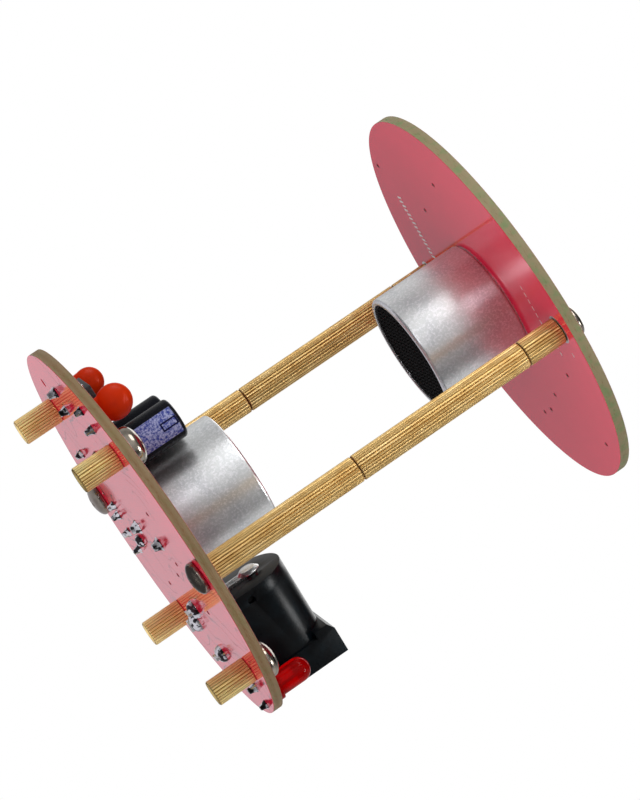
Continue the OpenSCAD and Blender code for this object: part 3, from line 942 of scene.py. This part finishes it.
def spacer(name, length, bore=0.0):
    """A smooth round spacer standing on z = 0, with turned ends and a blind bore below, ready to be
    knurled.
    """
    edge = SPACER_R - SPACER_CHAMFER
    profile = [(0, bore)]
    if bore:
        profile += [(THREAD_R, bore), (THREAD_R, 0.15), (THREAD_R + 0.15, 0)]
    profile += [
        (edge, 0),
        (SPACER_R, SPACER_CHAMFER),
        (SPACER_R, length - SPACER_CHAMFER),
        (edge, length),
        (0, length),
    ]
    return lathe(name, profile, KNURL_RIDGES * 10)


def knurled(piece, material):
    return KNURL.apply(
        piece,
        Ridges=KNURL_RIDGES,
        Radius=SPACER_R,
        Depth=KNURL_DEPTH,
        Material=material,
    )


JOINT_GAP = 0.08


def columns():
    sections = [("lower", DECK_Z, MIDDLE_Z), ("middle", MIDDLE_Z, TIP_Z), ("tip", TIP_Z, TOP_Z)]
    for side, (x, y) in zip(("front", "rear"), POSTS):
        for part, low, high in sections:
            node = f"{side}_post_{part}"
            piece = knurled(spacer(node + "_fine", high - low - JOINT_GAP), COLUMN_BRASS)
            move(piece, shift(x, y, low))
            adopt(piece, "knurled_brass", node, degrees=28)


def feet():
    for node, (x, y) in FEET.items():
        piece = knurled(spacer(node + "_fine", BASE_Z, bore=3.0), FOOT_BRASS_PAINTED_BRIGHT)
        move(piece, shift(x, y, 0))
        adopt(piece, "knurled_brass", node, degrees=28)


# ---- screws ----


def pan_head(radius=HEAD_R, height=HEAD_H):
    """A pan head standing on z = 0 with a tapered cross recess."""
    rim = height * HEAD_RIM
    dome = [
        (radius * math.cos(a), rim + (height - rim) * math.sin(a))
        for a in [math.radians(12 * i) for i in range(1, 8)]
    ]
    profile = [(0, 0), (radius - 0.1, 0), (radius, 0.1), (radius, rim), *dome, (0, height)]
    head = lathe("head", profile, 64)
    cutters = []
    for degrees in (0, 90):
        slot = box("slot", (-RECESS_LEN / 2, -RECESS_W / 2, 0), (RECESS_LEN / 2, RECESS_W / 2, 1))
        for vertex in slot.data.vertices:
            if vertex.co.z < 0.5:
                vertex.co.x *= 0.35
                vertex.co.y *= 0.6
        cutters.append(move(slot, turn(degrees, "Z"), shift(z=height - RECESS_DEPTH)))
    return bevel(cut(head, *cutters), 0.05, 2, 40)


def screws():
    heads_up = [(x, y, ROOF_Z) for x, y in POSTS]
    top = copies("column_top_screws_fine", pan_head(), heads_up, SCREW_NICKEL_PAINTED_DARK, seed=4)
    adopt(top, "nickel_screw", "column_top_screws")
    heads_in = [(x, y, DECK_Z) for x, y in FEET.values()]
    head = pan_head(FOOT_HEAD_R, FOOT_HEAD_H)
    inner = copies("foot_screws_fine", head, heads_in, SCREW_NICKEL_PAINTED_DARK, seed=9)
    adopt(inner, "nickel_screw", "foot_screws")
    heads_down = [(x, y, BASE_Z) for x, y in POSTS]
    head = move(pan_head(), turn(180, "X"))
    base = copies("column_base_screws_fine", head, heads_down, SCREW_NICKEL_PAINTED_DARK, seed=6)
    adopt(base, "nickel_screw", "column_base_screws")


# ---- transducers ----


def upright(piece):
    """Into the lower transducer's place."""
    return move(piece, shift(z=DECK_Z))


def hanging(piece):
    """Into the upper transducer's place, mouth down."""
    return move(piece, shift(z=TOP_Z), turn(180, "X"))


def can_profile():
    """Section of the drawn can: straight wall, rolled outer corner and a flat lip."""
    corner = [
        (CAN_R - CAN_ROUNDING * (1 - math.cos(a)), CAN_H - CAN_ROUNDING * (1 - math.sin(a)))
        for a in [math.radians(15 * i) for i in range(7)]
    ]
    inner = CAN_R - CAN_WALL
    return [
        (inner, 0),
        (CAN_R - 0.32, 0),
        (CAN_R - 0.3, 0.12),
        (CAN_R - 0.16, 0.2),
        (CAN_R - 0.04, 0.34),
        (CAN_R, 0.5),
        (CAN_R, CAN_H - CAN_ROUNDING),
        *corner[1:],
        (MOUTH_R + 0.05, CAN_H),
        (MOUTH_R, CAN_H - 0.05),
        (MOUTH_R, CAN_H - LIP_T),
        (inner, CAN_H - LIP_T),
    ]


def grille():
    """Two crossing families of fine wires trimmed to a disc, in a thin hem."""
    reach = CAN_R - CAN_WALL - GRILLE_GAP
    count = int(reach / GRILLE_PITCH)
    verts, edges = [], []
    step = GRILLE_PITCH / 4
    for family in (0, 1):
        for i in range(-count, count + 1):
            offset = i * GRILLE_PITCH
            half = math.sqrt(max(reach * reach - offset * offset, 0))
            steps = int(half / step)
            for j in range(-steps, steps + 1):
                along = j * step
                sign = 1.0 if family == 0 else -1.0
                verts.append((offset, along, sign) if family == 0 else (along, offset, sign))
                if j > -steps:
                    edges.append((len(verts) - 2, len(verts) - 1))
    mesh = bpy.data.meshes.new("grille")
    mesh.from_pydata(verts, edges, [])
    piece = link("grille", mesh)
    WEAVE.apply(
        piece,
        **{"Pitch": GRILLE_PITCH, "Wire Radius": GRILLE_WIRE_R, "Material": GRILLE_BLACK},
    )
    move(piece, shift(z=CAN_H - LIP_T - 2 * GRILLE_WIRE_R))
    low, high = CAN_H - LIP_T - 3.5 * GRILLE_WIRE_R, CAN_H - LIP_T - 0.5 * GRILLE_WIRE_R
    hem = [(reach - HEM_W, low), (reach, low), (reach, high), (reach - HEM_W, high)]
    rim = lathe("hem", hem, 96, closed=True)
    rim.data.materials.append(GRILLE_BLACK)
    return join("grille", piece, rim)


def transducers():
    for end, place in (("lower", upright), ("upper", hanging)):
        can = place(lathe(f"{end}_can_fine", can_profile(), 160, closed=True))
        adopt(can, "satin_aluminium", f"{end}_can", material=CAN_ALUMINIUM)
        screen = place(grille())
        screen.name = f"{end}_grille_fine"
        adopt(screen, "black_grille", f"{end}_grille", degrees=80)


# ---- power socket ----


def power_socket():
    body = bevel(cad_copy("jack_body"), 0.14, 3, 30)
    adopt(body, "black_moulding", "jack_body", material=JACK_BLACK, degrees=40)
    for node in ("jack_centre_pin", "jack_sleeve_terminal", "jack_side_terminal"):
        metal = bevel(cad_copy(node), 0.04, 2, 30)
        adopt(metal, "tinned_lead", node, material=LEAD_TIN, degrees=40)
    leaf = bevel(cad_copy("jack_contact_leaf"), 0.03, 2, 30)
    adopt(
        leaf,
        "spring_brass",
        "jack_contact_leaf",
        material=SPRING_BRASS,
        body="contact_leaf",
        degrees=40,
    )


# ---- indicator light ----


def light():
    flange_r, flange_h = 1.8, 0.7
    dome_z = LED_H - LED_LIFT - LED_R
    dome = [
        (LED_R * math.cos(a), dome_z + LED_R * math.sin(a))
        for a in [math.radians(7.5 * i) for i in range(13)]
    ]
    profile = [
        (0, 0),
        (flange_r - 0.08, 0),
        (flange_r, 0.08),
        (flange_r, flange_h - 0.08),
        (flange_r - 0.08, flange_h),
        (LED_R, flange_h),
        *dome[:-1],
        (0, dome_z + LED_R),
    ]
    lens = lathe("led_lens_fine", profile, 72)
    flat = box("flat", (-flange_r - 1, -3, -1), (-LED_R, 3, flange_h + 0.001))
    cut(lens, flat)
    place = shift(LED_AT[0], LED_AT[1], DECK_Z + LED_LIFT)
    adopt(move(lens, place), "red_lens", "led_lens", material=LENS_RED)
    cup = box("cup", (-1.0, -0.3, 0.2), (0.05, 0.3, 2.9))
    post = box("post", (0.35, -0.25, 0.2), (0.95, 0.25, 3.1))
    frame_parts = join("led_inner_frame", bevel(cup, 0.06, 2), bevel(post, 0.06, 2))
    adopt(move(frame_parts, place), "tinned_lead", material=LEAD_TIN)


# ---- electrolytic capacitor ----


def sleeve_profile():
    """Section of the shrunk film: a crimp groove low down and a rounded shoulder on top."""
    shoulder = 0.5
    inner = ELCAP_R - SLEEVE_T + 0.02
    corner = [
        (ELCAP_R - shoulder * (1 - math.cos(a)), ELCAP_H - shoulder * (1 - math.sin(a)))
        for a in [math.radians(15 * i) for i in range(7)]
    ]
    return [
        (inner, 0.1),
        (ELCAP_R - 0.05, 0.1),
        (ELCAP_R, 0.15),
        (ELCAP_R, BUNG_H - 0.35),
        (ELCAP_R - 0.04, BUNG_H - 0.2),
        (ELCAP_R - 0.16, BUNG_H + 0.05),
        (ELCAP_R - 0.04, BUNG_H + 0.35),
        (ELCAP_R, BUNG_H + 0.5),
        *corner,
        (ELCAP_R - 0.9, ELCAP_H),
        (ELCAP_R - 0.94, ELCAP_H - 0.1),
        (ELCAP_R - 0.9, ELCAP_H - SLEEVE_T + 0.04),
        (inner, ELCAP_H - SLEEVE_T + 0.02),
    ]


def scored_can():
    """The aluminium can inside the sleeve, with a cross scored in its top."""
    top, core = ELCAP_H - SLEEVE_T, ELCAP_R - SLEEVE_T
    profile = [(0, BUNG_H), (core, BUNG_H), (core, top - 0.1), (core - 0.1, top), (0, top)]
    scores = []
    for degrees in (45, 135):
        score = box("score", (-1.5, -0.09, top - 0.12), (1.5, 0.09, top + 1))
        scores.append(move(score, turn(degrees, "Z")))
    return cut(lathe("scored_can", profile, 72), *scores)


def electrolytics():
    sleeves, cans = [], []
    for x, y in ELCAPS_AT:
        place = shift(x, y, DECK_Z + ELCAP_LIFT)
        sleeves.append(move(lathe("sleeve", sleeve_profile(), 96, closed=True), place))
        cans.append(move(scored_can(), place))
    sleeve = join("electrolytic_sleeves_fine", *sleeves)
    adopt(sleeve, "printed_sleeve", "electrolytic_sleeves", material=SLEEVE)
    can = join("electrolytic_cans_fine", *cans)
    adopt(can, "satin_aluminium", "electrolytic_cans", material=INNER_ALUMINIUM)


# ---- other small parts ----


def dipped(node):
    """A dipped body: the CAD solid with its joins flowed together."""
    piece = cad_copy(node)
    skin = piece.modifiers.new("skin", "REMESH")
    skin.mode = "VOXEL"
    skin.voxel_size = 0.09
    flow = piece.modifiers.new("flow", "SMOOTH")
    flow.iterations = 4
    flow.factor = 0.6
    return bake(piece)


def ceramics():
    for node in ("ceramic_capacitor_large", "ceramic_capacitor_small"):
        adopt(dipped(node), "orange_dip", node, material=ORANGE_DIP, degrees=180)


def chip():
    body = bevel(cad_copy("driver_chip"), 0.08, 2, 30)
    corner = (CHIP_AT[0] - 1.3, CHIP_AT[1] + 1.8, DECK_Z + CHIP_H)
    dimple = lathe("dimple", [(0, -0.1), (0.3, -0.1), (0.32, 0.2), (0, 0.2)], 24)
    cut(body, move(dimple, shift(*corner)))
    adopt(body, "chip_epoxy", "driver_chip", material=CHIP_BLACK)
    leads = bevel(cad_copy("driver_chip_leads"), 0.04, 2, 30)
    adopt(leads, "tinned_lead", "driver_chip_leads", material=LEAD_TIN)


def regulator():
    body = bevel(cad_copy("regulator"), 0.12, 3, 30)
    adopt(body, "chip_epoxy", "regulator", material=CHIP_BLACK, degrees=40)


def resistor():
    body = bevel(cad_copy("resistor_body"), 0.1, 2, 20)
    adopt(body, "resistor_lacquer", "resistor_body", material=RESISTOR_TAN, degrees=60)


# ---- solder ----


def fillet(name, lead_r, pad_r, height):
    """A soldered joint hanging under z = 0, curving in from its pad up to the lead's tip."""
    steps = 8
    profile = [(0, 0.02), (pad_r, 0.02), (pad_r, -0.03)]
    for i in range(1, steps):
        share = i / steps
        radius = lead_r + 0.12 + (pad_r - lead_r - 0.12) * (1 - share) ** 2.1
        profile.append((radius, -0.03 - (height - 0.03) * share))
    profile += [(lead_r + 0.08, -height), (0, -height - 0.06)]
    return lathe(name, profile, 28)


def drop(name, pad_r, height):
    """A heavy round drop of solder hanging under z = 0."""
    profile = [(0, 0.02), (pad_r, 0.02)]
    profile += [
        (pad_r * math.cos(a) ** 0.8, -height * math.sin(a))
        for a in [math.radians(9 * i) for i in range(1, 10)]
    ]
    profile.append((0, -height))
    return lathe(name, profile, 32)


def solder():
    joints = copies(
        "lead_joints",
        fillet("fillet", LEAD_R, 0.66, 0.95),
        [(x, y, BASE_Z) for x, y in LEAD_PLACES],
        SOLDER,
        0.12,
        3,
    )
    pins = copies(
        "pin_joints",
        fillet("fillet", PIN_R, 0.95, 0.95),
        [(x, y, BASE_Z) for x, y in PIN_PLACES],
        SOLDER,
        0.06,
        5,
    )
    tabs = copies(
        "tab_joints",
        drop("drop", 1.2, 0.95),
        [(x, y, BASE_Z) for x, y, _ in TABS],
        SOLDER,
        0.06,
        8,
    )
    spare = copies(
        "spare_joint", drop("drop", 0.85, 0.7), [(*SPARE_PAD_AT, BASE_Z)], SOLDER, 0.0, 2
    )
    adopt(join("base_solder_fine", joints, pins, tabs, spare), "solder", "base_solder")
    cap = move(fillet("fillet", PIN_R, 1.15, 0.85), turn(180, "X"))
    roof = copies("top_solder_fine", cap, [(x, y, ROOF_Z) for x, y in PIN_PLACES], SOLDER, 0.06, 7)
    adopt(roof, "solder", "top_solder")


def pads():
    """Tinned rings round the screw heads and column ends, a hair proud of the mask."""
    ring = [(SCREW_HOLE_R, 0.02), (1.8, 0.02), (1.84, 0), (1.8, -0.03), (SCREW_HOLE_R, -0.03)]
    rings = [
        copies(
            "rings",
            lathe("ring", ring, 48, closed=True),
            [(x, y, BASE_Z) for x, y in POSTS] + [(x, y, TOP_Z) for x, y in POSTS],
            PAD_TIN,
        ),
        copies(
            "rings",
            move(lathe("ring", ring, 48, closed=True), turn(180, "X")),
            [(x, y, DECK_Z) for x, y in POSTS] + [(x, y, ROOF_Z) for x, y in POSTS],
            PAD_TIN,
        ),
    ]
    adopt(join("column_pads", *rings), "solder")


# ---- CAD nodes that keep their shape ----

KEPT = {
    "lower_base_plug": RESIN_BLACK,
    "upper_base_plug": RESIN_BLACK,
    "lower_pins": LEAD_TIN,
    "upper_pins": LEAD_TIN,
    "lower_seal_ring": SILICONE,
    "upper_seal_ring": SILICONE,
    "lower_piezo_disc": CERAMIC,
    "upper_piezo_disc": CERAMIC,
    "lower_bender_plate": INNER_ALUMINIUM,
    "upper_bender_plate": INNER_ALUMINIUM,
    "lower_cone": INNER_ALUMINIUM,
    "upper_cone": INNER_ALUMINIUM,
    "led_leads": LEAD_TIN,
    "electrolytic_bungs": RESIN_BLACK,
    "electrolytic_leads": LEAD_TIN,
    "ceramic_leads": LEAD_TIN,
    "regulator_leads": LEAD_TIN,
    "resistor_leads": LEAD_TIN,
}


def repaint_kept():
    for node, material in KEPT.items():
        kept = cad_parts[node]
        kept.data.materials.clear()
        kept.data.materials.append(material)


# ---- stage, lamps and camera ----

FLOOR_SIZE = 2.4
WHITE = (1.0, 1.0, 1.0)
AMBIENT = 0.42
MIRRORED = 0.53
FLOOR_NEAR, FLOOR_FAR = 0.58, 0.35
FLOOR_TINT = (1.0, 0.98, 1.06)
FLOOR_DARK_TOWARDS, FLOOR_DARK_BAND, FLOOR_DARKNESS = -109.0, (-8.0, 14.0), 0.85
FLOOR_FADE, FLOOR_GLOW = (90.0, 260.0), 0.3
CARD_ON_FLOOR, CARD_HALF, CARD_SOFTNESS, CARD_GLOW = (-140.0, -180.0), 30.0, 30.0, 11.0

# Soft cards that shiny surfaces see: azimuth, elevation, half width, softness, change of light
CARDS = [
    (-140.0, 12.0, 22.0, 26.0, 0.27),
    (-55.0, 5.0, 10.0, 22.0, -0.42),
    (-12.0, 10.0, 10.0, 25.0, 0.30),
    (-112.0, -24.0, 16.0, 12.0, -0.45),
    (60.0, 35.0, 14.0, 22.0, 0.30),
    (0.0, 90.0, 22.0, 24.0, -0.38),
    (-150.0, -50.0, 12.0, 20.0, 0.30),
    (-60.0, 42.0, 7.0, 4.0, 13.0),
    (50.0, 50.0, 12.0, 14.0, -0.45),
    (122.0, 24.0, 14.0, 20.0, 0.25),
]


def heading(azimuth, elevation):
    """The unit vector that points that way."""
    a, e = math.radians(azimuth), math.radians(elevation)
    return Vector((math.cos(a) * math.cos(e), math.sin(a) * math.cos(e), math.sin(e)))


def ray_kinds(graph):
    """Camera, mirror, glass and shadow rays, each 1 where the ray is of that kind."""
    path = graph.node("ShaderNodeLightPath")
    outputs = path.socket.node.outputs
    names = ("Is Camera Ray", "Is Glossy Ray", "Is Transmission Ray", "Is Shadow Ray")
    return [Value(graph, outputs[name]) for name in names]


def white_world():
    """White behind the object, a softer studio with cards for shiny surfaces, plain light else."""
    world = bpy.data.worlds.new("studio")
    world.use_nodes = True
    bpy.context.scene.world = world
    graph = Graph(world.node_tree)
    graph.tree.nodes.clear()
    direction = graph.node("ShaderNodeTexCoord")
    studio = MIRRORED
    for azimuth, elevation, half, softness, change in CARDS:
        centre = heading(azimuth, elevation)
        facing = graph.node(
            "ShaderNodeVectorMath", {"operation": "DOT_PRODUCT"}, [direction, centre], out=1
        )
        angle = facing.math("ARCCOSINE") * (180 / math.pi)
        studio = (1.0 - angle.ramp(half, half + softness)) * change + studio
    camera_ray, mirror_ray, glass_ray, _ = ray_kinds(graph)
    seen = camera_ray.most(glass_ray)
    strength = AMBIENT + (studio - AMBIENT) * mirror_ray
    strength = strength * (1.0 - seen) + seen
    light_all = graph.node(
        "ShaderNodeBackground", None, {"Color": (*WHITE, 1), "Strength": strength}
    )
    graph.node("ShaderNodeOutputWorld", None, {"Surface": light_all})


def floor_finish():
    """Pale paper that is seen from above only, takes the shadow and lets the lamp below through."""
    finish = Finish("studio_floor")
    grain = finish.noise(finish.mm, 0.4, 3.0)
    paper = finish.node(
        "ShaderNodeBsdfDiffuse", None, {"Color": finish.blend((0.86, 0.86, 0.86), WHITE, grain)}
    )
    camera_ray, mirror_ray, glass_ray, shadow_ray = ray_kinds(finish)
    seen = camera_ray.most(glass_ray)
    glow = finish.node(
        "ShaderNodeEmission", None, {"Color": (*WHITE, 1), "Strength": seen * FLOOR_GLOW}
    )
    lit = finish.node("ShaderNodeAddShader", None, [paper, glow])
    far = from_axis(finish, 0.0, 0.0).ramp(*FLOOR_FADE)
    away = heading(FLOOR_DARK_TOWARDS, 0.0)
    depth = finish.node(
        "ShaderNodeVectorMath", {"operation": "DOT_PRODUCT"}, [finish.mm, away], out=1
    )
    glare = FLOOR_NEAR + (FLOOR_FAR - FLOOR_NEAR) * far
    glare = glare * (1.0 - depth.ramp(*FLOOR_DARK_BAND) * FLOOR_DARKNESS)
    spot = 1.0 - from_axis(finish, *CARD_ON_FLOOR).ramp(CARD_HALF, CARD_HALF + CARD_SOFTNESS)
    glare = glare + spot * CARD_GLOW
    mirrored = finish.node(
        "ShaderNodeEmission", None, {"Color": (*FLOOR_TINT, 1), "Strength": glare}
    )
    lit = finish.node("ShaderNodeMixShader", None, [mirror_ray, lit, mirrored])
    clear = finish.node("ShaderNodeBsdfTransparent")
    under = finish.node("ShaderNodeNewGeometry", out=6)
    surface = finish.node("ShaderNodeMixShader", None, [under.most(shadow_ray), lit, clear])
    finish.node("ShaderNodeOutputMaterial", None, {"Surface": surface})
    return finish.material


def stage():
    shape = bmesh.new()
    bmesh.ops.create_grid(shape, x_segments=4, y_segments=4, size=FLOOR_SIZE / 2)
    floor = from_bmesh("floor", shape)
    if floor.data.polygons[0].normal.z < 0:
        floor.data.flip_normals()
    floor.data.materials.append(floor_finish())


def area_lamp(name, azimuth, elevation, distance, size, power):
    """A soft square lamp that looks at the object's middle, placed in degrees and metres."""
    data = bpy.data.lights.new(name, "AREA")
    data.shape = "SQUARE"
    data.size = size
    data.energy = power
    lamp = link(name, data)
    lamp.matrix_world = looking_at_middle(azimuth, elevation, distance)


def looking_at_middle(azimuth, elevation, distance, roll=0.0):
    """The placing of something that looks at the object's middle from that direction."""
    away = heading(azimuth, elevation)
    middle = Vector(CAMERA_TARGET) * MM
    facing = away.to_track_quat("Z", "Y").to_matrix().to_4x4()
    return Matrix.Translation(middle + away * distance) @ facing @ turn(roll, "Z")


CAMERA_TARGET = (-2.59, -2.09, 30.06)
CAMERA_AZIMUTH = -109.15
CAMERA_ELEVATION = -9.687
CAMERA_ROLL = 55.70
CAMERA_DISTANCE = 0.430
CAMERA_LENS = 208.1


def camera():
    data = bpy.data.cameras.new("camera")
    data.sensor_fit = "HORIZONTAL"
    data.sensor_width = 36.0
    data.lens = CAMERA_LENS
    data.clip_start = 0.01
    made = link("camera", data)
    made.matrix_world = looking_at_middle(
        CAMERA_AZIMUTH, CAMERA_ELEVATION, CAMERA_DISTANCE, CAMERA_ROLL
    )
    bpy.context.scene.camera = made


def lamps():
    area_lamp("key", -150.0, 35.0, 0.5, 0.30, 1.05)
    area_lamp("fill", -70.0, -20.0, 0.6, 0.40, 0.5)
    area_lamp("under", -100.0, -62.0, 0.5, 0.45, 2.4)
    area_lamp("back", 80.0, 40.0, 0.6, 0.35, 0.6)


# ---- making ----

camera()
white_world()
stage()
lamps()
base_board()
top_board()
vias()
legend()
columns()
feet()
screws()
transducers()
power_socket()
light()
electrolytics()
ceramics()
chip()
regulator()
resistor()
solder()
pads()
repaint_kept()

scene = bpy.context.scene
scene.view_settings.view_transform = "Standard"
